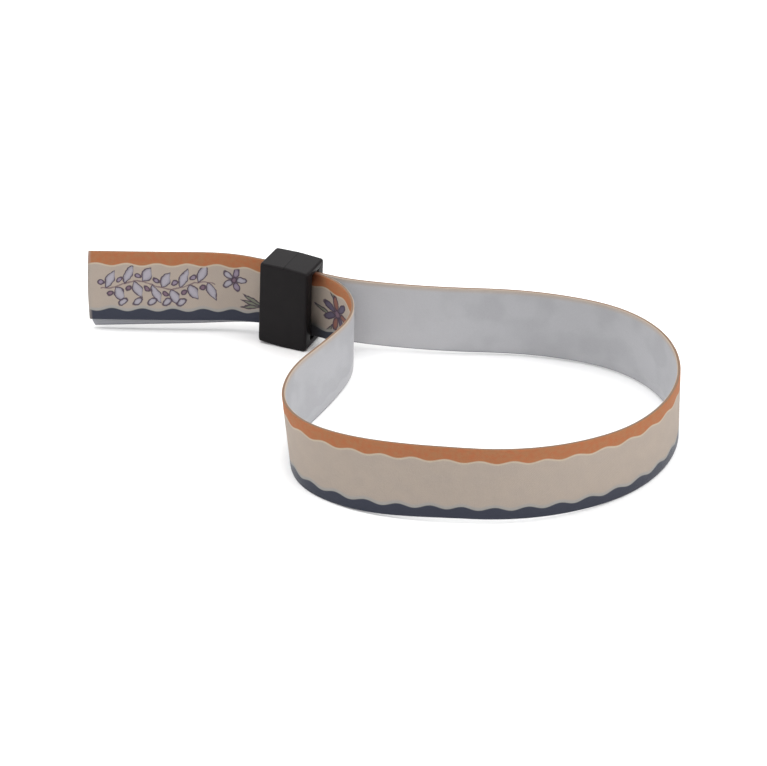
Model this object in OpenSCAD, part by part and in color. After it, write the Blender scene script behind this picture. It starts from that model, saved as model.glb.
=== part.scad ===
// Woven festival wristband, closed by a plastic slide lock and standing on its edge.
// X runs along the two strands in the lock, towards the loop. Z is up and the floor is z = 0.
// The origin is on the floor, under the middle of the whole object.

/* [Band] */
// Width of the woven band
band_w = 15; // [12:0.5:15]
// Thickness of the woven band
band_t = 1; // [0.8:0.1:1.2]
// Gap between the two strands inside the lock
strand_gap = 0.3; // [0.2:0.1:0.6]
// Height of the band's lower edge over the floor, inside the lock
seat_h = 2.4; // [1.5:0.1:2.5]

/* [Lock] */
// Length of the lock along the band
lock_l = 11; // [10:0.1:12]
// Thickness of the lock across both strands
lock_t = 8.4; // [8:0.1:10]
// Height of the lock
lock_h = 19; // [18.8:0.1:20]
// Material above and below the slot
lock_rim = 0.8; // [0.8:0.1:1.1]
// Slope of the lock's top and bottom faces, away from its middle, in degrees
lock_draft = 2.5; // [2:0.5:3]
// Radius of the lock's four corners, seen from the front
corner_r = 0.5; // [0.3:0.1:0.5]
// Radius of the lock's other edges
edge_r = 0.6; // [0.3:0.1:0.8]
// Clearance in the slot, at each side of the two strands
side_play = 0.3; // [0.2:0.1:0.5]
// How much thicker the lock is before the slot than behind it
front_wall_extra = 1; // [0:0.1:1.2]
// Width of the chamfer down both sides of each mouth of the slot
mouth = 0.4; // [0.2:0.1:0.6]

/* [Hidden] */
$fn = 48;

// The band runs straight this far, inside the lock
lock_run = lock_l + 1;

// Middle of the lock, seen from the middle of both strands
lock_middle = [0.25, -front_wall_extra/2];

// The band is a chain of stretches, each an arc or a straight, from one cut end to the other
NAME = 0;
LENGTH = 1; // along the band; CLOSE is worked out so that the loop closes
TURN = 2;   // change of heading over the stretch, in degrees, positive to the left
LEAN = 3;   // lean of the top edge to the printed side at the stretch's end, in degrees
LIFT = 4;   // height of the lower edge over the floor at the stretch's end
CLOSE = 0;
stretches = [
    ["front tail end", 25.3, 2, -11, 2.7],
    ["front tail", 12, -23, 0, seat_h + 0.4],
    ["front strand in lock", lock_run, 0, 0, seat_h - 0.25],
    ["lock exit", 6, -23, 3, 2.2],
    ["near bend", 14, -66.7, -3, 0.3],
    ["across", CLOSE, -8, 4, 0],
    ["into left end", 18, 36.7, 6, 0],
    ["left end", 14, 48, -3.5, 0],
    ["out of left end", 11, 17, -9.5, 0.2],
    ["front, flat part", 16, 11, -4, 1.1],
    ["front", 36, 48, -1, 0.1],
    ["right end", 39, 67, -1, 0.4],
    ["out of right end", 24, 52, -2, 0.3],
    ["back", CLOSE, 21, 0, 0.5],
    ["back sway", 27, -12, -2, 1.2],
    ["into lock", 7, -11, 0, seat_h - 0.5],
    ["back strand in lock", lock_run, 0, 0, seat_h - 0.1],
    ["back tail", 12, 22, 11, 1.4],
    ["back tail end", 25.7, 0, 11, 0.5],
];
function row(name) = search([name], stretches, 1, NAME)[0];
lock_front = row("front strand in lock");
lock_back = row("back strand in lock");
close_a = row("across");
close_b = row("back");

// Each point is averaged with this many neighbours on each side, as the weave is stiff
bend_reach = 3;
twist_reach = 4;

// Sums, averages and directions
function total(v) = [for (item = v) 1]*v;
function soften(v, reach) = [for (i = [0:len(v) - 1])
    let (r = min(reach, i, len(v) - 1 - i)) total([for (k = [-r:r]) v[i + k]])/(2*r + 1)];
function running(v) = [for (i = 0, s = 0; i <= len(v); s = s + (i < len(v) ? v[i] : 0), i = i + 1) s];
function column(rows, c) = [for (r = rows) r[c]];
function unit(v) = v/norm(v);
function dir(a) = [cos(a), sin(a)];

// Shift along an arc of unit length that turns from heading a to heading b
function arc(a, b) = abs(b - a) < 0.01 ? dir(a)
    : 180/PI/(b - a)*[sin(b) - sin(a), cos(a) - cos(b)];

// Headings at the ends of the stretches, zero in the lock
turned = running(column(stretches, TURN));
headings = [for (h = turned) h - turned[lock_front]];
arcs = [for (i = [0:len(stretches) - 1]) arc(headings[i], headings[i + 1])];

// The two lengths left open bring the back strand beside the front one in the lock
strand_pitch = band_t + strand_gap;
function share(i) = i == lock_front || i == lock_back ? 0.5 : 1;
gone = total([for (i = [lock_front:lock_back]) share(i)*stretches[i][LENGTH]*arcs[i]]);
to_go = [0, strand_pitch] - gone;
det = cross(arcs[close_a], arcs[close_b]);
lengths = [for (i = [0:len(stretches) - 1])
    i == close_a ? cross(to_go, arcs[close_b])/det
    : i == close_b ? cross(arcs[close_a], to_go)/det
    : stretches[i][LENGTH]];

// Middle line of the band in plan, a point about every millimetre
ends = running(lengths);
band_l = ends[len(ends) - 1];
steps = round(band_l);
step = band_l/steps;
function at_ends(v) = [for (i = [0:len(ends) - 1]) [ends[i], v[i]]];
heading_at = at_ends(headings);
walk = [for (i = 0, p = [0, 0]; i <= steps;
    p = p + step*dir(lookup((i + 0.5)*step, heading_at)), i = i + 1) p];
lock_station = (ends[lock_front] + lock_run/2)/step;
before = floor(lock_station);
lock_point = walk[before] + (lock_station - before)*(walk[before + 1] - walk[before]);
plan = soften(soften([for (p = walk) p - lock_point - [0, strand_pitch/2]], bend_reach), bend_reach);

// Lean and lift along the band
function profile(c) = let (v = column(stretches, c), known = at_ends(concat([v[0]], v)))
    soften([for (i = [0:steps]) lookup(i*step, known)], twist_reach);
lean = profile(LEAN);
lift = profile(LIFT);

// Corners of the band's cross-section at one point, from the lower printed edge round
function band_section(i) = let (
    a = max(i - 1, 0),
    b = min(i + 1, steps),
    across = plan[b] - plan[a],
    ahead = unit([across.x, across.y, lift[b] - lift[a]]),
    printed = unit([across.y, -across.x, 0]),
    up = cos(lean[i])*cross(printed, ahead) + sin(lean[i])*printed,
    out = cross(ahead, up),
    middle_z = lift[i] + band_w/2*cos(lean[i]) + band_t/2*abs(sin(lean[i])),
    middle = [plan[i].x, plan[i].y, middle_z]
) [
    middle - band_w/2*up + band_t/2*out,
    middle + band_w/2*up + band_t/2*out,
    middle + band_w/2*up - band_t/2*out,
    middle - band_w/2*up - band_t/2*out,
];

// The solid has a section at every second point and at the last one
stations = concat([for (i = [0:2:steps - 2]) i], [steps]);
sections = [for (i = stations) band_section(i)];
corners = [for (s = sections, c = s) c];

// Triangles between neighbouring sections, and on the two cut ends
sides = 4;
last = len(corners) - sides;
function skin(s, k) = let (a = s*sides + k, b = s*sides + (k + 1)%sides)
    [[a, b, a + sides], [b, b + sides, a + sides]];
faces = concat(
    [[0, 2, 1], [0, 3, 2]],
    [for (s = [0:len(sections) - 2], k = [0:sides - 1], f = skin(s, k)) f],
    [[last, last + 1, last + 2], [last, last + 2, last + 3]]
);

// The origin goes under the middle of the box round band and lock
low_x = min(column(corners, 0));
high_x = max(column(corners, 0));
low_y = min(column(corners, 1));
high_y = max(max(column(corners, 1)), lock_t/2 + lock_middle.y);
to_origin = -[(low_x + high_x)/2, (low_y + high_y)/2, 0];

module band() color([0.67, 0.62, 0.58]) translate(to_origin) polyhedron(corners, faces, convexity = 10);

// Sizes of the slot, and how far a cutter runs past a face
slot_t = band_t + strand_pitch + 2*side_play;
slot_h = lock_h - 2*lock_rim;
past = 1;

// Rectangle with round corners
module round_rect(w, h, r) {
    square([w - 2*r, h], center = true);
    square([w, h - 2*r], center = true);
    for (x = [-1, 1], y = [-1, 1]) translate([x*(w/2 - r), y*(h/2 - r)]) circle(r);
}

// Front view of the lock: its top and bottom slope away from the middle
module lock_outline() {
    corner_x = lock_l/2 - corner_r;
    corner_y = lock_h/2 - corner_x*tan(lock_draft) - corner_r/cos(lock_draft);
    touch = [corner_x, corner_y] + corner_r*[sin(lock_draft), cos(lock_draft)];
    upper = [[lock_l/2, corner_y], touch, [0, lock_h/2], [-touch.x, touch.y], [-lock_l/2, corner_y]];
    polygon(concat(upper, [for (p = upper) -p]));
    for (x = [-1, 1], y = [-1, 1]) translate([x*corner_x, y*corner_y]) circle(corner_r);
}

// Block of the lock, rounded in all three views
module lock_block() intersection() {
    rotate([90, 0, 0]) linear_extrude(lock_t, center = true) lock_outline();
    linear_extrude(lock_h, center = true) round_rect(lock_l, lock_t, edge_r);
    rotate([90, 0, 90]) linear_extrude(lock_l, center = true) round_rect(lock_t, lock_h, edge_r);
}

// Straight slot for both strands, chamfered down both sides of each mouth
module lock_slot() {
    inner = lock_l/2 - mouth;
    outer = lock_l/2 + past;
    wide = slot_t/2 + mouth + past;
    cube([2*outer, slot_t, slot_h], center = true);
    for (s = [-1, 1]) linear_extrude(slot_h, center = true)
        polygon([[s*inner, slot_t/2], [s*outer, wide], [s*outer, -wide], [s*inner, -slot_t/2]]);
}

// The lock stands on the half of its sloping lower face that is next to the loop
module slide_lock() color([0.15, 0.15, 0.16]) translate(to_origin)
    translate([lock_middle.x, 0, lock_h/2*cos(lock_draft)]) rotate([0, lock_draft, 0]) difference() {
        translate([0, lock_middle.y, 0]) lock_block();
        lock_slot();
    }

band();
slide_lock();
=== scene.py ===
"""Looks of a woven festival wristband that a plastic slide lock closes. It stands on its edge."""

import math

import bpy
import numpy as np
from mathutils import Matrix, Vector


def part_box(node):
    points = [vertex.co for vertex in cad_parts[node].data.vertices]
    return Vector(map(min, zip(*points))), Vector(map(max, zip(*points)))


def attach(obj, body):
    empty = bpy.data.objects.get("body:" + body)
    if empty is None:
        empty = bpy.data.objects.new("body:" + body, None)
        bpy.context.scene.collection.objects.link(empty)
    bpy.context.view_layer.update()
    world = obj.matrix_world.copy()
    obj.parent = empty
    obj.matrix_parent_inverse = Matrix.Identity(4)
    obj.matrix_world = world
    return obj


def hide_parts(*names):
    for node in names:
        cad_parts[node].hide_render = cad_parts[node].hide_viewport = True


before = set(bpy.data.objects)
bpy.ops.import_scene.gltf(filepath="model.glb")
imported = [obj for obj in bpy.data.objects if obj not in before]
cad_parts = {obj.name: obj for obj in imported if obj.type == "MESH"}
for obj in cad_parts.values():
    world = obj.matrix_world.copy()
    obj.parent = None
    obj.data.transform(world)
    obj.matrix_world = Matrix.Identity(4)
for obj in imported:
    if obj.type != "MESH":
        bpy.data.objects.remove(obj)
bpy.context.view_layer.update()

MM = 0.001

# Camera: the point it looks at, its direction and distance from there, and its sensor and lens, which are
# in millimetres
CAMERA_TARGET = Vector((-2.765, 22.108, -6.4)) * MM
CAMERA_AZIMUTH = math.radians(23.45)
CAMERA_ELEVATION = math.radians(29.5)
CAMERA_DISTANCE = 661.6 * MM
SENSOR = 36
LENS = 147.6

# Lamps: name, place and size in metres, and power in watts. Each is a round soft box turned to the origin
LAMPS = [
    ("overhead", (0.0, 0.1, 1.3), 1.8, 20.4),
    ("left_side", (-1.2, -0.3, 0.6), 1.0, 7.6),
    ("right_side", (1.2, 0.1, 0.6), 1.0, 8.4),
    ("front", (0.4, -1.2, 0.7), 1.0, 2.6),
    ("back", (-0.3, 1.3, 0.6), 1.0, 3.0),
]
SKY = (1, 1, 1, 1)
SKY_STRENGTH = 0.45

# Floor, in millimetres
FLOOR_SIZE = 5000
FLOOR_ROUGHNESS = 0.9
FLOOR_SPECULAR = 0.1

# Band, in millimetres. Its route is the middle of the source's solid, and the cloth is thinner than that
BAND_WIDTH = 15
SOLID_THICKNESS = 1
STRAND_PITCH = 1.3

# The cloth's two faces, seen from the route, and the rounding of its edges
PRINTED_FACE = 0.4
INNER_FACE = -0.3
BAND_CORNER = 0.2

# Cut ends: the bow of the front one, and the length and height of the corner that the back one has lost.
# Both fade out over a few rings
FRONT_END_BOW = 0.27
CLIPPED_CORNER = (0.6, 1.05)
CUT_RINGS = 5

# Neighbours on each side that a point is averaged with: for bends, for twists, and at the finer stations
BEND_REACH = 3
TWIST_REACH = 4
FINE_REACH = 2

# Distance between the finer stations
FINE_STEP = 0.5

# Below this turn, in radians, an arc is taken as straight
STRAIGHT = 1e-4

# The band is a chain of stretches, from one cut end to the other. A length of CLOSE is solved for
CLOSE = 0
SEAT_HEIGHT = 2.4
STRETCHES = [
    # name, length, turn in degrees, lean in degrees and lift at the end
    ("front tail end", 25.3, 2, -11, 2.7),
    ("front tail", 12, -23, 0, SEAT_HEIGHT + 0.4),
    ("front strand in lock", 12, 0, 0, SEAT_HEIGHT - 0.25),
    ("lock exit", 6, -23, 3, 2.2),
    ("near bend", 14, -66.7, -3, 0.3),
    ("across", CLOSE, -8, 4, 0),
    ("into left end", 18, 36.7, 6, 0),
    ("left end", 14, 48, -3.5, 0),
    ("out of left end", 11, 17, -9.5, 0.2),
    ("front, flat part", 16, 11, -4, 1.1),
    ("front", 36, 48, -1, 0.1),
    ("right end", 39, 67, -1, 0.4),
    ("out of right end", 24, 52, -2, 0.3),
    ("back", CLOSE, 21, 0, 0.5),
    ("back sway", 27, -12, -2, 1.2),
    ("into lock", 7, -11, 0, SEAT_HEIGHT - 0.5),
    ("back strand in lock", 12, 0, 0, SEAT_HEIGHT - 0.1),
    ("back tail", 12, 22, 11, 1.4),
    ("back tail end", 25.7, 0, 11, 0.5),
]

# How far each strand is pressed towards the other where it enters the lock and where it leaves it, and how
# far beyond the lock that fades out
PRESSED = {"front strand in lock": (0.1, 0.1), "back strand in lock": (0.5, 0.25)}
PRESS_FADE = 9

# Lock, in millimetres. Its top and bottom slope away from the middle, and it is rolled by that slope.
# Its shift is seen from the middle of both strands
LOCK_LENGTH = 11
LOCK_THICKNESS = 8.4
LOCK_HEIGHT = 19
LOCK_DRAFT = math.radians(2.5)
LOCK_SHIFT = (0.25, -0.5)

# Rounding of the lock's ends at its sides, top and bottom, and of its long corners
END_ROUND = 0.6
TOP_ROUND = 0.4
BOTTOM_ROUND = 0.85
CORNER_ROUND = 0.5
ROUND_STEPS = 6

# Groove across the lock's top at its middle: its half width and its depth. A plain ring lies further out
PARTING_LINE = 0.2
PARTING_DEPTH = 0.06
PLAIN_RING = 3

# Slot for both strands, seen from the lock's middle. Both mouths flare to the front and to the back, and
# their depth is how far in the flare begins
SLOT_FRONT = -0.7
SLOT_BACK = 1.36
SLOT_LOW = -7.63
SLOT_HIGH = 8.06
SLOT_ROUND = 0.25
MOUTH_FRONT = 1.1
MOUTH_BACK = 0.3
MOUTH_DEPTH = 0.6

# Steps round a section: on each corner, on its top and its bottom, and on each of its sides
BAND_STEPS = (3, 1, 16)
LOCK_STEPS = (5, 6, 14)

# Print, in millimetres along the band and down from its top edge. The pitch of its waves varies a little:
# each row is a place along the band, and how many waves the print has passed there
WAVES = [(-8.0, -2), (4.8, 0), (30.5, 4), (122.4, 19), (191.9, 30), (356.2, 56)]
TOP_BORDER = 2.72
TOP_WAVE = 0.28
BOTTOM_BORDER = 12.73
BOTTOM_WAVE = 0.33

# Where the print has motifs, from and to along the band: on the front tail, and at the near bend
MOTIF_ZONES = [(0, 37.5), (48, 66)]

# Motifs, in millimetres along the band and down from its top edge
VINE_START = 3.9
VINE_DOWN = 7.6
VINE_WAVE = 0.8
VINE_WAVE_LENGTH = 14.1
LEAVES_A_SIDE = 6
LEAF_PITCH = 3.9
LEAF_REACH = 2.05
LEAF_TURN = math.radians(62)
LEAF_SIZE = (1.95, 0.95)
BERRY_REACH = 1.25
BERRY_SIZE = (0.62, 0.5)
VINE_END = VINE_START + LEAVES_A_SIDE * LEAF_PITCH

# Buds: the first one's place, how far down they lie, their pitch and their number
BUDS = (7.5, 11.3, 3.1, 5)
BUD_TURN = math.radians(-35)
BUD_SIZE = (1.05, 0.62)

# Flowers: place along and down, reach and number of petals. Sizes in a flower are shares of its reach
TAIL_FLOWER = (31.2, 6.0, 2.7, 5)
BEND_FLOWER = (56.1, 7.9, 4.3, 7)
PETAL_MIDDLE = 0.6
PETAL_LENGTH = 0.4
PETAL_WIDTH = 1.2
DISC_SIZE = 0.2

# Blades of grass: where each starts, along and down, and its direction in degrees
TAIL_BLADES = [(37.6, 11.4, 172), (37.6, 11.4, 190), (37.6, 11.4, 208)]
BEND_BLADES = [(54.6, 11, 125), (56.4, 11.5, 85), (58, 11.2, 60), (54.2, 9, 200), (55, 5, 245)]
BLADE_SIZE = (2.4, 0.42)

# Looks. A pair of places, or of a noise's values, is a soft step: where it is still 0, and where it has
# come to 1. A scale is a noise's, a mix is how strongly a colour covers the one below it, and a bump is
# its distance and strength

# Drawn lines: their half width and their wobble in millimetres, and the stem's start, end and edge
OUTLINE = 0.2
HAND_WOBBLE = 0.7
HAND_SCALE = 0.8
STEM_START = (VINE_START - 1.2, VINE_START - 1)
STEM_END = (VINE_END, VINE_END - 0.2)
STEM_EDGE = (OUTLINE, 0.5 * OUTLINE)
STEM_MIX = 0.8

# A drawn shape reaches to 1. The softness of its fill and the core of its outline are shares of the line
FILL_EDGE = 0.3
SHADE_START = (0.3, 1)
SHADE_END = (1.1, 1)
SHADE_MIX = 0.4
STROKE_CORE = 0.35
STROKE_MIX = 0.85

# Ground and borders of the print, in millimetres from a border's wave
MOTTLE_SCALE = 0.35
MOTTLE_STEP = (0.3, 0.7)
MOTTLE_MIX = 0.4
WARM_HALO_STEP = (0.5, 0.15)
WARM_HALO_MIX = 0.8
COOL_HALO_STEP = (0.95, 0.3)
ORANGE_SCALE = 0.9
ORANGE_STEP = (0.35, 0.7)
BORDER_STEP = (0.14, -0.14)

# Inner side: mottled, with painted light just before the lock and painted shade on the back tail beyond it,
# and dyed along its top and bottom edges
WHITE_SCALE = 0.12
WHITE_STEP = (0.42, 0.62)
PAINTED_LIGHT_START = (262, 294)
PAINTED_LIGHT_END = (310, 302)
PAINTED_LIGHT_MIX = 0.85
TAIL_SHADE_START = (302, 314)
TOP_DYE = (1.3, 0.1)
TOP_DYE_MIX = 0.75
BOTTOM_DYE = (BAND_WIDTH - 0.35, BAND_WIDTH - 0.05)

# Cut edges, by depth from the printed face and down from the top edge, and the sealed front end
CLOTH_THICKNESS = PRINTED_FACE - INNER_FACE
PRINT_END = (0.03, 0.17)
EDGE_FADE = (0.48, 0.62)
LOWER_EDGE = (BAND_WIDTH / 2, BAND_WIDTH / 2 + 0.1)
INNER_START = (CLOTH_THICKNESS - 0.16, CLOTH_THICKNESS - 0.02)
SEALED_STEP = (0.8, 0.1)
SEALED_MIX = 0.6

# Painted shade where both strands leave the lock towards the loop: from and to along both strands, and
# stronger near both edges
LOCK_SHADE_FRONT = ((44, 48), (53.5, 49))
LOCK_SHADE_BACK = ((299.8, 301.6), (309, 305))
LOCK_SHADE_BACK_MIX = 0.6
LOCK_SHADE_TOP = (3.5, 0.5)
LOCK_SHADE_BOTTOM = (8, 13)
LOCK_SHADE_MIX = 0.5
LOCK_SHADE_EDGE_MIX = 0.42

# Weave: pitches of its threads in millimetres, and a fine fuzz in tint and bump
WARP_PITCH = 0.36
WEFT_PITCH = 0.42
WEAVE_BUMP = (0.03 * MM, 0.5)
FUZZ_SCALE = 3.2
FUZZ_MIX = 0.12
FUZZ_BUMP = (0.05 * MM, 0.3)
CLOTH_ROUGHNESS = 0.75
CLOTH_SPECULAR = 0.15
NAVY_SHEEN = 0.28
SHEEN_ROUGHNESS = 0.4

# Lock's surface: its grain and patches, whose scales are per metre, and painted shade along the parting
# groove, drawn above a height in metres and as wide as the groove
GRAIN_SCALE = 9000
GRAIN_BUMP = (0.02 * MM, 0.4)
PATCH_SCALE = 350
PARTING_HEIGHT = (18.5 * MM, 18.8 * MM)
PARTING_STEP = (PARTING_LINE, PARTING_LINE / 3)
PARTING_BUMP = (0.03 * MM, 0.5)
LOCK_ROUGHNESS = 0.33
PATCH_ROUGHNESS = 0.1
LOCK_SPECULAR = 0.067


def linear(red, green, blue):
    """Linear colour with alpha, from sRGB values of 0 to 255."""
    parts = [c / 255 for c in (red, green, blue)]
    return tuple(c / 12.92 if c < 0.04045 else ((c + 0.055) / 1.055) ** 2.4 for c in parts) + (1,)


ORANGE = linear(153, 104, 71)
ORANGE_PATCH = linear(159, 97, 64)
BEIGE = linear(160, 148, 137)
BEIGE_PATCH = linear(152, 142, 134)
NAVY = linear(50, 53, 65)
WARM_HALO = linear(182, 168, 148)
COOL_HALO = linear(147, 144, 140)
WHITE_CLOTH = linear(172, 172, 175)
WHITE_PATCH = linear(165, 165, 168)
# Painted light on the inner side before the lock, and painted shade on the back tail's inner side
PAINTED_LIGHT_CLOTH = linear(185, 184, 186)
TAIL_SHADE_CLOTH = linear(152, 153, 158)
# Dark orange of the painted shade on the orange border where the strands leave the lock
SHADED_ORANGE = linear(70, 26, 6)
TAN_EDGE = linear(122, 100, 83)
CREAM_EDGE = linear(177, 159, 142)
GREY_EDGE = linear(98, 99, 107)
SEALED_EDGE = linear(152, 143, 136)
FUZZ_SHADE = (0.02, 0.02, 0.02, 1)
BLACK = linear(26, 24, 25)
BLACK_PATCH = linear(31, 29, 30)
# Painted shade along the lock's parting groove
GROOVE_SHADE = linear(18, 17, 18)
FLOOR = linear(250, 250, 250)
INK = linear(66, 54, 68)
TWIG = linear(105, 86, 90)
LILAC = linear(154, 150, 158)
LILAC_SHADE = linear(131, 119, 135)
PLUM = linear(112, 92, 104)
RUST = linear(128, 88, 78)
VIOLET = linear(88, 81, 98)
SAGE = linear(112, 114, 100)


# Route of the band


def soften(values, reach):
    """Averages each value with its neighbours on both sides, and with fewer near the ends."""
    last = len(values) - 1
    reaches = [min(reach, i, last - i) for i in range(last + 1)]
    return np.array([values[i - r : i + r + 1].mean(axis=0) for i, r in enumerate(reaches)])


def arc(start, end):
    """Shift along an arc of unit length that turns from one heading to another."""
    if abs(end - start) < STRAIGHT:
        return np.array([math.cos(start), math.sin(start)])
    shift = [math.sin(end) - math.sin(start), math.cos(start) - math.cos(end)]
    return np.array(shift) / (end - start)


def unit(vectors):
    """Vectors with the same directions and a length of 1."""
    return vectors / np.linalg.norm(vectors, axis=-1, keepdims=True)


def steps_of(values):
    """Difference between the neighbours of each value."""
    first, last = values[1:2] - values[:1], values[-1:] - values[-2:-1]
    return np.concatenate([first, values[2:] - values[:-2], last])


def lock_middle():
    """Middle of the lock's solid in plan, in millimetres."""
    low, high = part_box("slide_lock")
    return np.array((low + high) / 2)[:2] / MM


def close_loop(length, headings, lock_front, lock_back):
    """Sets the open lengths so that the back strand comes to lie beside the front one in the lock."""
    arcs = np.array([arc(a, b) for a, b in zip(headings, headings[1:])])
    open_rows = np.flatnonzero(length == CLOSE)

    # The loop runs from the lock's middle to its middle, so half of both strands in the lock count
    share = np.zeros(len(length))
    share[lock_front : lock_back + 1] = 1
    share[[lock_front, lock_back]] = 0.5
    to_go = [0, STRAND_PITCH] - (share * length) @ arcs
    length[open_rows] = np.linalg.solve(arcs[open_rows].T, to_go)


def band_plan(stations, ends, headings, lock_front):
    """Middle line of the band in plan: a walk along the headings, softened and set in the lock."""
    step = stations[1]
    heading = np.interp(stations[:-1] + step / 2, ends, headings)
    moves = step * np.stack([np.cos(heading), np.sin(heading)], 1)
    walk = np.concatenate([[[0, 0]], np.cumsum(moves, axis=0)])
    in_lock = (ends[lock_front] + ends[lock_front + 1]) / 2
    lock_point = [np.interp(in_lock, stations, walk[:, k]) for k in (0, 1)]
    plan = soften(soften(walk - lock_point - [0, STRAND_PITCH / 2], BEND_REACH), BEND_REACH)
    return plan + (lock_middle() - LOCK_SHIFT)


def band_route():
    """Stations along the band, its middle line, and its up and outward directions, in millimetres."""
    names = [row[0] for row in STRETCHES]
    length, turn, lean, lift = np.array([row[1:] for row in STRETCHES], float).T
    lock_front = names.index("front strand in lock")
    lock_back = names.index("back strand in lock")
    headings = np.radians(np.concatenate([[0], np.cumsum(turn)]))
    headings -= headings[lock_front]
    close_loop(length, headings, lock_front, lock_back)

    ends = np.concatenate([[0], np.cumsum(length)])
    steps = round(ends[-1])
    stations = ends[-1] / steps * np.arange(steps + 1)
    plan = band_plan(stations, ends, headings, lock_front)
    profiles = [np.interp(stations, ends, np.concatenate([v[:1], v])) for v in (lean, lift)]
    leans, lifts = (soften(v, TWIST_REACH) for v in profiles)

    across = steps_of(plan)
    ahead = unit(np.column_stack([across, steps_of(lifts)]))
    printed = unit(np.column_stack([across[:, 1], -across[:, 0], np.zeros(len(plan))]))
    cosine, sine = np.cos(np.radians(leans)), np.sin(np.radians(leans))
    up = cosine[:, None] * np.cross(printed, ahead) + sine[:, None] * printed
    out = np.cross(ahead, up)
    height = lifts + BAND_WIDTH / 2 * cosine + SOLID_THICKNESS / 2 * np.abs(sine)
    middle = np.column_stack([plan, height])
    for name, (entering, leaving) in PRESSED.items():
        start, end = ends[names.index(name)], ends[names.index(name) + 1]
        places = [start - PRESS_FADE, start, end, end + PRESS_FADE]
        middle -= np.interp(stations, places, [0, entering, leaving, 0])[:, None] * out
    return stations, middle, up, out


def finer(values, coarse, fine):
    """Values at finer stations, with the corners between the coarse ones rounded off."""
    found = np.column_stack([np.interp(fine, coarse, v) for v in values.T])
    return soften(found, FINE_REACH)


# Meshes


def mesh_object(name, points, faces):
    """Smooth object with its points in millimetres."""
    mesh = bpy.data.meshes.new(name)
    mesh.from_pydata(np.asarray(points) * MM, [], faces)
    mesh.shade_smooth()
    mesh.validate()
    piece = bpy.data.objects.new(name, mesh)
    bpy.context.scene.collection.objects.link(piece)
    return piece


def add_attribute(piece, name, kind, field, values):
    """Gives each point of a piece a value that its material reads."""
    attribute = piece.data.attributes.new(name, kind, "POINT")
    attribute.data.foreach_set(field, np.asarray(values, np.float32).ravel())


def round_rect(x_range, y_range, radius, steps):
    """Points round a rectangle with round corners, anticlockwise from the upper end of its right side."""
    (left, right), (low, high) = x_range, y_range
    arc_steps, x_steps, y_steps = steps
    middles = [
        (right - radius, high - radius),
        (left + radius, high - radius),
        (left + radius, low + radius),
        (right - radius, low + radius),
    ]
    bends = []
    for quarter, (x, y) in enumerate(middles):
        turns = math.pi / 2 * (quarter + np.linspace(0, 1, arc_steps + 1))
        bends.append(np.stack([x + radius * np.cos(turns), y + radius * np.sin(turns)], 1))
    points = []
    for quarter, bend in enumerate(bends):
        points.extend(bend)
        start, end = bend[-1], bends[(quarter + 1) % 4][0]
        count = x_steps if quarter % 2 == 0 else y_steps
        points.extend(start + (end - start) * i / count for i in range(1, count))
    return np.array(points)


def tube_faces(rings, around, closed=False):
    """Faces between neighbouring rings of points, and back to the first ring if it is closed."""
    faces = []
    for i in range(rings if closed else rings - 1):
        a, b = i * around, (i + 1) % rings * around
        faces.extend((a + k, a + (k + 1) % around, b + (k + 1) % around, b + k) for k in range(around))
    return faces


def end_faces(section, rings):
    """Faces that close both cut ends of the band, between its printed side and its inner side."""
    outward, upward = section.T
    around = len(section)
    last = (rings - 1) * around
    centre = (PRINTED_FACE + INNER_FACE) / 2
    opposite = [int(np.argmin(np.hypot(outward + v - 2 * centre, upward - w))) for v, w in section]
    printed = [k for k in range(around) if outward[k] > centre]
    printed.sort(key=lambda k: upward[k])
    faces = []
    for k, j in zip(printed, printed[1:]):
        faces.append((k, j, opposite[j], opposite[k]))
        faces.append((last + k, last + opposite[k], last + opposite[j], last + j))
    return faces


def cut_ends(points, upward, ahead):
    """Cuts the front end in a slight bow, and takes the lower corner off the back end."""
    half_width = BAND_WIDTH / 2
    clip_length, clip_height = CLIPPED_CORNER
    front_cut = FRONT_END_BOW * (1 - (upward / half_width) ** 2)
    back_cut = clip_length * np.clip(1 - (upward + half_width) / clip_height, 0, 1)
    for i in range(CUT_RINGS):
        fade = 1 - i / CUT_RINGS
        points[i] -= fade * front_cut[:, None] * ahead[i]
        points[-1 - i] -= fade * back_cut[:, None] * ahead[-1 - i]


def band_piece():
    """Cloth of the band: a section swept along the route, where each point knows its place on the cloth."""
    coarse, middle, up, out = band_route()
    rings = round(coarse[-1] / FINE_STEP) + 1
    fine = np.linspace(0, coarse[-1], rings)
    middle, up, out = (finer(v, coarse, fine) for v in (middle, up, out))
    up, out = unit(up), unit(out)

    # The section runs clockwise, because outward turned to upward points back along the band
    half_width = BAND_WIDTH / 2
    thickness, width = (INNER_FACE, PRINTED_FACE), (-half_width, half_width)
    section = round_rect(thickness, width, BAND_CORNER, BAND_STEPS)[::-1]
    outward, upward = section.T
    points = middle[:, None] + outward[:, None] * out[:, None] + upward[:, None] * up[:, None]
    cut_ends(points, upward, np.cross(up, out))
    faces = tube_faces(rings, len(section)) + end_faces(section, rings)
    piece = mesh_object("woven_band", points.reshape(-1, 3), faces)

    along = np.repeat(fine, len(section))
    down = np.tile(half_width - upward, rings)
    depth = np.tile(PRINTED_FACE - outward, rings)
    place = np.column_stack([along, down, depth])
    add_attribute(piece, "cloth_place", "FLOAT_VECTOR", "vector", place)
    add_attribute(piece, "print_waves", "FLOAT", "value", np.interp(along, *np.array(WAVES).T))
    for face in piece.data.polygons:
        at = along[face.vertices[0]]
        for slot, (start, end) in enumerate(MOTIF_ZONES, 1):
            if start <= at < end:
                face.material_index = slot
    return piece


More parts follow.
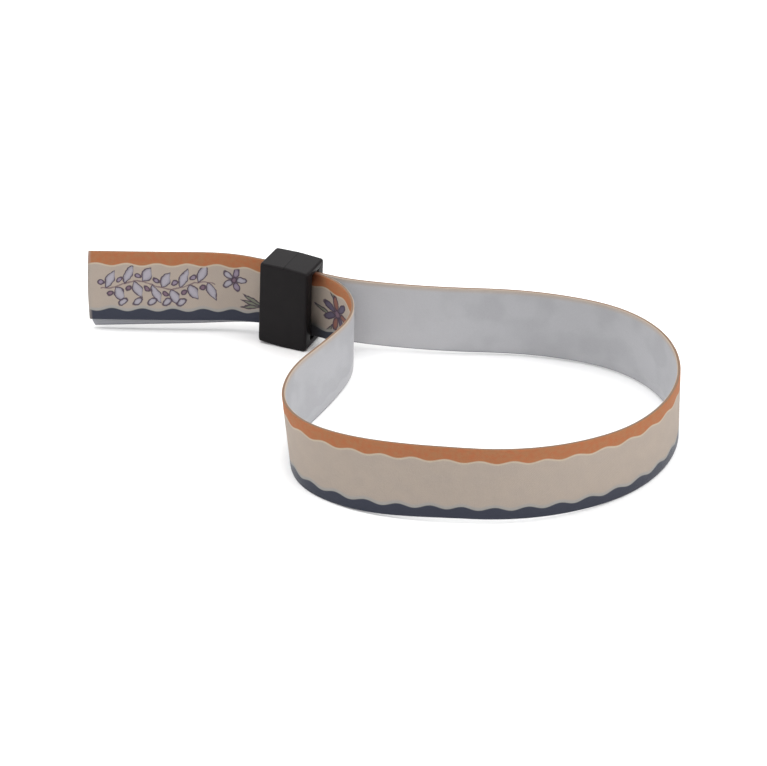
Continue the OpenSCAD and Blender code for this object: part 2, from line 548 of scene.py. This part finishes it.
def outer_ring(x, rounded=0, sunk=0):
    """Ring round the outside of the lock, as its place, its two ranges and its corner radius."""
    high = LOCK_HEIGHT / 2 - abs(x) * math.tan(LOCK_DRAFT)
    half_width = LOCK_THICKNESS / 2 - END_ROUND * rounded
    heights = (BOTTOM_ROUND * rounded - high, high - TOP_ROUND * rounded - sunk)
    return x, (-half_width, half_width), heights, CORNER_ROUND


def slot_ring(x, flare=0):
    """Ring round the inside of the slot, in the same form. At its mouths the flare is 1."""
    widths = (SLOT_FRONT - MOUTH_FRONT * flare, SLOT_BACK + MOUTH_BACK * flare)
    return x, widths, (SLOT_LOW, SLOT_HIGH), SLOT_ROUND


def lock_rings():
    """Rings over the outside of the lock from left to right, and back through its slot."""
    end = LOCK_LENGTH / 2
    turns = np.radians(np.linspace(0, 90, ROUND_STEPS + 1))
    rounding = [(end - END_ROUND * (1 - math.sin(turn)), 1 - math.cos(turn)) for turn in turns]
    mouth = [(end - MOUTH_DEPTH * math.sin(turn), 1 - math.sin(turn)) for turn in turns]
    mouth.append((end / 2, 0))

    rings = [outer_ring(-x, rounded) for x, rounded in rounding[::-1]]
    for x in (-PLAIN_RING, -PARTING_LINE, 0, PARTING_LINE, PLAIN_RING):
        rings.append(outer_ring(x, sunk=0 if x else PARTING_DEPTH))
    rings.extend(outer_ring(x, rounded) for x, rounded in rounding)
    for side in (1, -1):
        rings.extend(slot_ring(side * x, flare) for x, flare in mouth[::side])
    return rings


def lock_piece():
    """Moulded block with a slot for the strands and a faint parting line over its top."""
    rings = lock_rings()
    loops = [round_rect(widths, heights, radius, LOCK_STEPS) for _, widths, heights, radius in rings]
    around = len(loops[0])
    side = np.repeat([ring[0] for ring in rings], around)
    y, z = np.concatenate(loops).T

    # It is rolled onto the half of its lower face that is next to the loop
    cosine, sine = math.cos(LOCK_DRAFT), math.sin(LOCK_DRAFT)
    east, north = lock_middle()
    height = z * cosine - side * sine + LOCK_HEIGHT / 2 * cosine
    points = np.column_stack([side * cosine + z * sine + east, y + north, height])
    piece = mesh_object("lock_body", points, tube_faces(len(rings), around, closed=True))
    add_attribute(piece, "lock_side", "FLOAT", "value", side)
    piece.modifiers.new("even_faces", "WEIGHTED_NORMAL")
    return piece


# Materials


class Graph:
    """Adds nodes to a new material. A value may be a number, a colour or another node's output."""

    def __init__(self, name):
        self.material = bpy.data.materials.new(name)
        self.material.use_nodes = True
        self.tree = self.material.node_tree
        self.shader = self.tree.nodes["Principled BSDF"]

    def put(self, socket, value):
        if isinstance(value, bpy.types.NodeSocket):
            self.tree.links.new(value, socket)
        else:
            socket.default_value = value

    def look(self, name, value):
        """Sets one of the shader's own sockets."""
        self.put(self.shader.inputs[name], value)

    def add(self, kind, **settings):
        node = self.tree.nodes.new("ShaderNode" + kind)
        for name, value in settings.items():
            setattr(node, name, value)
        return node

    def attribute(self, name, output):
        return self.add("Attribute", attribute_name=name).outputs[output]

    def split(self, vector):
        node = self.add("SeparateXYZ")
        self.put(node.inputs[0], vector)
        return node.outputs

    def math(self, operation, *values):
        node = self.add("Math", operation=operation)
        for socket, value in zip(node.inputs, values):
            self.put(socket, value)
        return node.outputs[0]

    def ramp(self, value, zero_at, one_at):
        """0 up to one place and 1 beyond the other, with a soft step between them, rising or falling."""
        node = self.add("MapRange", interpolation_type="SMOOTHSTEP")
        self.put(node.inputs["Value"], value)
        node.inputs["From Min"].default_value = min(zero_at, one_at)
        node.inputs["From Max"].default_value = max(zero_at, one_at)
        node.inputs["To Min"].default_value = float(zero_at > one_at)
        node.inputs["To Max"].default_value = float(zero_at < one_at)
        return node.outputs["Result"]

    def mix(self, factor, first, second):
        node = self.add("MixRGB")
        self.put(node.inputs["Fac"], factor)
        self.put(node.inputs["Color1"], first)
        self.put(node.inputs["Color2"], second)
        return node.outputs["Color"]

    def noise(self, vector, scale, detail=2, output="Fac"):
        node = self.add("TexNoise")
        self.put(node.inputs["Vector"], vector)
        node.inputs["Scale"].default_value = scale
        node.inputs["Detail"].default_value = detail
        return node.outputs[output]

    def bump(self, height, distance, strength, normal=None):
        node = self.add("Bump")
        self.put(node.inputs["Height"], height)
        node.inputs["Distance"].default_value = distance
        node.inputs["Strength"].default_value = strength
        if normal is not None:
            self.put(node.inputs["Normal"], normal)
        return node.outputs["Normal"]


def turned(g, x, y, angle):
    """The same point seen from axes turned by an angle."""
    cosine, sine = math.cos(angle), math.sin(angle)
    u = g.math("MULTIPLY_ADD", x, cosine, g.math("MULTIPLY", y, sine))
    v = g.math("MULTIPLY_ADD", y, cosine, g.math("MULTIPLY", x, -sine))
    return u, v


def nearest_of(g, value, step, first, last):
    """Number of the nearest step, from a first one to a last one, and the distance from it."""
    count = g.math("ROUND", g.math("DIVIDE", value, step))
    count = g.math("MINIMUM", g.math("MAXIMUM", count, first), last)
    return count, g.math("MULTIPLY_ADD", count, -step, value)


def draw(g, base, u, v, size, fill, pointed=False):
    """One outlined oval, or a pointed leaf, round the place where u and v are zero."""
    half_length, half_width = size
    u = g.math("DIVIDE", u, half_length)
    v = g.math("DIVIDE", v, half_width)
    u_squared = g.math("MULTIPLY", u, u)
    if pointed:
        outside = g.math("ADD", u_squared, g.math("ABSOLUTE", v))
    else:
        outside = g.math("SQRT", g.math("MULTIPLY_ADD", v, v, u_squared))
    line = OUTLINE / half_width
    base = g.mix(g.ramp(outside, 1 + FILL_EDGE * line, 1 - FILL_EDGE * line), base, fill)
    shade = g.math("MULTIPLY", g.ramp(outside, *SHADE_START), g.ramp(outside, *SHADE_END))
    base = g.mix(g.math("MULTIPLY", shade, SHADE_MIX), base, INK)
    from_outline = g.math("ABSOLUTE", g.math("SUBTRACT", outside, 1))
    stroke = g.ramp(from_outline, line, STROKE_CORE * line)
    return g.mix(g.math("MULTIPLY", stroke, STROKE_MIX), base, INK)


def flower(g, base, along, down, spec, fills):
    """Ring of oval petals in two colours, round a small disc."""
    centre_along, centre_down, reach, petals = spec
    x = g.math("SUBTRACT", along, centre_along)
    y = g.math("SUBTRACT", down, centre_down)
    radius = g.math("SQRT", g.math("MULTIPLY_ADD", x, x, g.math("MULTIPLY", y, y)))
    count, turn = nearest_of(g, g.math("ARCTAN2", y, x), math.tau / petals, -petals, petals)
    u = g.math("SUBTRACT", g.math("MULTIPLY", radius, g.math("COSINE", turn)), PETAL_MIDDLE * reach)
    v = g.math("MULTIPLY", radius, g.math("SINE", turn))
    fill = g.mix(g.math("PINGPONG", count, 1), *fills)
    base = draw(g, base, u, v, (PETAL_LENGTH * reach, PETAL_WIDTH * reach / petals), fill)
    return draw(g, base, x, y, (DISC_SIZE * reach, DISC_SIZE * reach), PLUM)


def blades(g, base, along, down, specs):
    """Thin pointed blades that start at a place and grow in a direction in degrees."""
    for start_along, start_down, degrees in specs:
        x = g.math("SUBTRACT", along, start_along)
        y = g.math("SUBTRACT", down, start_down)
        u, v = turned(g, x, y, math.radians(degrees))
        base = draw(g, base, g.math("SUBTRACT", u, BLADE_SIZE[0]), v, BLADE_SIZE, SAGE, pointed=True)
    return base


def vine(g, base, along, down):
    """Leaves and berries on both sides of a waving stem. The lower ones stand half a pitch further on."""
    wave = g.math("SINE", g.math("MULTIPLY", along, math.tau / VINE_WAVE_LENGTH))
    below = g.math("SUBTRACT", down, g.math("MULTIPLY_ADD", wave, VINE_WAVE, VINE_DOWN))
    on_stem = g.math("MULTIPLY", g.ramp(along, *STEM_START), g.ramp(along, *STEM_END))
    stem = g.math("MULTIPLY", on_stem, g.ramp(g.math("ABSOLUTE", below), *STEM_EDGE))
    base = g.mix(g.math("MULTIPLY", stem, STEM_MIX), base, TWIG)
    for side, start, berry in ((-1, VINE_START, LILAC_SHADE), (1, VINE_START + LEAF_PITCH / 2, PLUM)):
        _, x = nearest_of(g, g.math("SUBTRACT", along, start), LEAF_PITCH, 0, LEAVES_A_SIDE - 1)
        u, v = turned(g, x, below, side * LEAF_TURN)
        base = draw(g, base, g.math("SUBTRACT", u, LEAF_REACH), v, LEAF_SIZE, LILAC, pointed=True)
        x = g.math("ADD", x, LEAF_PITCH / 4)
        y = g.math("SUBTRACT", below, side * BERRY_REACH)
        base = draw(g, base, x, y, BERRY_SIZE, berry)
    return base


def tail_motifs(g, base, along, down):
    """A vine over a row of buds, with a small flower and some blades of grass after it."""
    base = vine(g, base, along, down)
    first, bud_down, pitch, buds = BUDS
    _, x = nearest_of(g, g.math("SUBTRACT", along, first), pitch, 0, buds - 1)
    u, v = turned(g, x, g.math("SUBTRACT", down, bud_down), BUD_TURN)
    base = draw(g, base, u, v, BUD_SIZE, LILAC)
    base = flower(g, base, along, down, TAIL_FLOWER, (LILAC, LILAC_SHADE))
    return blades(g, base, along, down, TAIL_BLADES)


def bend_motifs(g, base, along, down):
    """A larger flower over some blades of grass."""
    base = blades(g, base, along, down, BEND_BLADES)
    return flower(g, base, along, down, BEND_FLOWER, (RUST, VIOLET))


class Cloth:
    """Place on the cloth, and how far that is below the top border's wave and above the bottom one's."""

    def __init__(self, g):
        self.place = g.attribute("cloth_place", "Vector")
        self.along, self.down, self.depth = g.split(self.place)
        wave = g.math("COSINE", g.math("MULTIPLY", g.attribute("print_waves", "Fac"), math.tau))
        self.top = g.math("SUBTRACT", self.down, g.math("MULTIPLY_ADD", wave, TOP_WAVE, TOP_BORDER))
        bottom_border = g.math("MULTIPLY_ADD", wave, -BOTTOM_WAVE, BOTTOM_BORDER)
        self.bottom = g.math("SUBTRACT", bottom_border, self.down)


def printed_side(g, cloth, navy, motifs):
    """Beige ground, perhaps with motifs, between an orange border and a navy one with paler margins."""
    mottle = g.ramp(g.noise(cloth.place, MOTTLE_SCALE, detail=3), *MOTTLE_STEP)
    base = g.mix(g.math("MULTIPLY", mottle, MOTTLE_MIX), BEIGE, BEIGE_PATCH)
    if motifs:
        wobble = g.split(g.noise(cloth.place, HAND_SCALE, output="Color"))
        hand_along = g.math("MULTIPLY_ADD", wobble[0], HAND_WOBBLE, cloth.along)
        hand_down = g.math("MULTIPLY_ADD", wobble[1], HAND_WOBBLE, cloth.down)
        base = motifs(g, base, hand_along, hand_down)
    base = g.mix(g.math("MULTIPLY", g.ramp(cloth.top, *WARM_HALO_STEP), WARM_HALO_MIX), base, WARM_HALO)
    base = g.mix(g.ramp(cloth.bottom, *COOL_HALO_STEP), base, COOL_HALO)
    patches = g.ramp(g.noise(cloth.place, ORANGE_SCALE, detail=3), *ORANGE_STEP)
    base = g.mix(g.ramp(cloth.top, *BORDER_STEP), base, g.mix(patches, ORANGE, ORANGE_PATCH))
    return g.mix(navy, base, NAVY)


def inner_side(g, cloth):
    """White side with painted light before the lock and painted shade on the back tail, where the dye shows
    through along both edges.
    """
    patches = g.ramp(g.noise(cloth.place, WHITE_SCALE), *WHITE_STEP)
    inner = g.mix(patches, WHITE_CLOTH, WHITE_PATCH)
    # Painted light before the lock
    painted_light = g.math("MULTIPLY", g.ramp(cloth.along, *PAINTED_LIGHT_START), g.ramp(cloth.along, *PAINTED_LIGHT_END))
    inner = g.mix(g.math("MULTIPLY", painted_light, PAINTED_LIGHT_MIX), inner, PAINTED_LIGHT_CLOTH)
    # Painted shade on the back tail's inner side
    inner = g.mix(g.ramp(cloth.along, *TAIL_SHADE_START), inner, TAIL_SHADE_CLOTH)
    inner = g.mix(g.math("MULTIPLY", g.ramp(cloth.down, *TOP_DYE), TOP_DYE_MIX), inner, CREAM_EDGE)
    return g.mix(g.ramp(cloth.down, *BOTTOM_DYE), inner, GREY_EDGE)


def cut_edge(g, cloth):
    """Upper edge from tan to cream, and lower edge in navy."""
    edge = g.mix(g.ramp(cloth.depth, *EDGE_FADE), TAN_EDGE, CREAM_EDGE)
    return g.mix(g.ramp(cloth.down, *LOWER_EDGE), edge, NAVY)


def painted_lock_shade(g, cloth, colour):
    """Painted shade in black, and in dark orange on the orange border, where both strands leave the lock
    towards the loop.
    """
    front, back = (
        g.math("MULTIPLY", g.ramp(cloth.along, *start), g.ramp(cloth.along, *end))
        for start, end in (LOCK_SHADE_FRONT, LOCK_SHADE_BACK)
    )
    shaded = g.math("MAXIMUM", front, g.math("MULTIPLY", back, LOCK_SHADE_BACK_MIX))
    near_edge = g.math("MAXIMUM", g.ramp(cloth.down, *LOCK_SHADE_TOP), g.ramp(cloth.down, *LOCK_SHADE_BOTTOM))
    strength = g.math("MULTIPLY_ADD", near_edge, LOCK_SHADE_EDGE_MIX, LOCK_SHADE_MIX)
    shade_tint = g.mix(g.ramp(cloth.top, *BORDER_STEP[::-1]), SHADED_ORANGE, BLACK)
    return g.mix(g.math("MULTIPLY", shaded, strength), colour, shade_tint)


def cloth_material(name, motifs=None):
    """Woven cloth with a print on one side: two wavy borders, and perhaps motifs on the ground between."""
    g = Graph(name)
    cloth = Cloth(g)
    navy = g.ramp(cloth.bottom, *BORDER_STEP)
    colour = printed_side(g, cloth, navy, motifs)
    colour = g.mix(g.ramp(cloth.depth, *PRINT_END), colour, cut_edge(g, cloth))
    colour = g.mix(g.ramp(cloth.depth, *INNER_START), colour, inner_side(g, cloth))
    sealed = g.math("MULTIPLY", g.ramp(cloth.along, *SEALED_STEP), SEALED_MIX)
    # Painted shade where both strands leave the lock
    colour = painted_lock_shade(g, cloth, g.mix(sealed, colour, SEALED_EDGE))
    fuzz = g.noise(cloth.place, FUZZ_SCALE)
    g.look("Base Color", g.mix(g.math("MULTIPLY", fuzz, FUZZ_MIX), colour, FUZZ_SHADE))
    g.look("Sheen Weight", g.math("MULTIPLY", navy, NAVY_SHEEN))
    g.look("Sheen Roughness", SHEEN_ROUGHNESS)
    g.look("Roughness", CLOTH_ROUGHNESS)
    g.look("Specular IOR Level", CLOTH_SPECULAR)

    warp = g.math("SINE", g.math("MULTIPLY", cloth.down, math.tau / WARP_PITCH))
    weft = g.math("SINE", g.math("MULTIPLY", cloth.along, math.tau / WEFT_PITCH))
    normal = g.bump(g.math("MULTIPLY", warp, weft), *WEAVE_BUMP)
    g.look("Normal", g.bump(fuzz, *FUZZ_BUMP, normal))
    return g.material


def lock_material():
    """Fine satin black moulding, with painted shade as a darker line along the groove."""
    g = Graph("moulded_black")
    place = g.add("TexCoord").outputs["Object"]
    patches = g.noise(place, PATCH_SCALE, detail=3)
    height = g.split(place)[2]
    side = g.math("ABSOLUTE", g.attribute("lock_side", "Fac"))
    # Painted shade along the parting groove
    groove_shade = g.math("MULTIPLY", g.ramp(height, *PARTING_HEIGHT), g.ramp(side, *PARTING_STEP))
    g.look("Base Color", g.mix(groove_shade, g.mix(patches, BLACK, BLACK_PATCH), GROOVE_SHADE))
    g.look("Roughness", g.math("MULTIPLY_ADD", patches, PATCH_ROUGHNESS, LOCK_ROUGHNESS))
    g.look("Specular IOR Level", LOCK_SPECULAR)
    normal = g.bump(g.noise(place, GRAIN_SCALE), *GRAIN_BUMP)
    g.look("Normal", g.bump(g.math("SUBTRACT", 1, groove_shade), *PARTING_BUMP, normal))
    return g.material


def floor_material():
    g = Graph("pale_floor")
    g.look("Base Color", FLOOR)
    g.look("Roughness", FLOOR_ROUGHNESS)
    g.look("Specular IOR Level", FLOOR_SPECULAR)
    return g.material


# Stage


def lamp(name, place, size, power):
    light = bpy.data.lights.new(name, "AREA")
    light.shape = "DISK"
    light.size = size
    light.energy = power
    holder = bpy.data.objects.new(name, light)
    holder.location = place
    holder.rotation_euler = Vector(place).to_track_quat("Z", "Y").to_euler()
    bpy.context.scene.collection.objects.link(holder)


def stage():
    half = FLOOR_SIZE / 2
    corners = [(-half, -half, 0), (half, -half, 0), (half, half, 0), (-half, half, 0)]
    floor = mesh_object("floor", corners, [(0, 1, 2, 3)])
    floor.data.materials.append(floor_material())
    for row in LAMPS:
        lamp(*row)
    world = bpy.data.worlds.new("studio")
    world.use_nodes = True
    sky = world.node_tree.nodes["Background"]
    sky.inputs["Color"].default_value = SKY
    sky.inputs["Strength"].default_value = SKY_STRENGTH
    bpy.context.scene.world = world
    bpy.context.scene.view_settings.view_transform = "Standard"


def camera():
    level = math.cos(CAMERA_ELEVATION)
    east, south = math.sin(CAMERA_AZIMUTH), math.cos(CAMERA_AZIMUTH)
    back = Vector((east * level, -south * level, math.sin(CAMERA_ELEVATION)))
    data = bpy.data.cameras.new("camera")
    data.sensor_width = SENSOR
    data.lens = LENS
    eye = bpy.data.objects.new("camera", data)
    eye.location = CAMERA_TARGET + CAMERA_DISTANCE * back
    eye.rotation_euler = back.to_track_quat("Z", "Y").to_euler()
    bpy.context.scene.collection.objects.link(eye)
    bpy.context.scene.camera = eye


camera()
stage()

# The order of the band's materials is that of the motif zones, after the plain one
band = band_piece()
band.data.materials.append(cloth_material("woven_print"))
band.data.materials.append(cloth_material("woven_print_vine", tail_motifs))
band.data.materials.append(cloth_material("woven_print_flower", bend_motifs))
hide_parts("band")
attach(band, "root")

lock = lock_piece()
lock.data.materials.append(lock_material())
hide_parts("slide_lock")
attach(lock, "root")
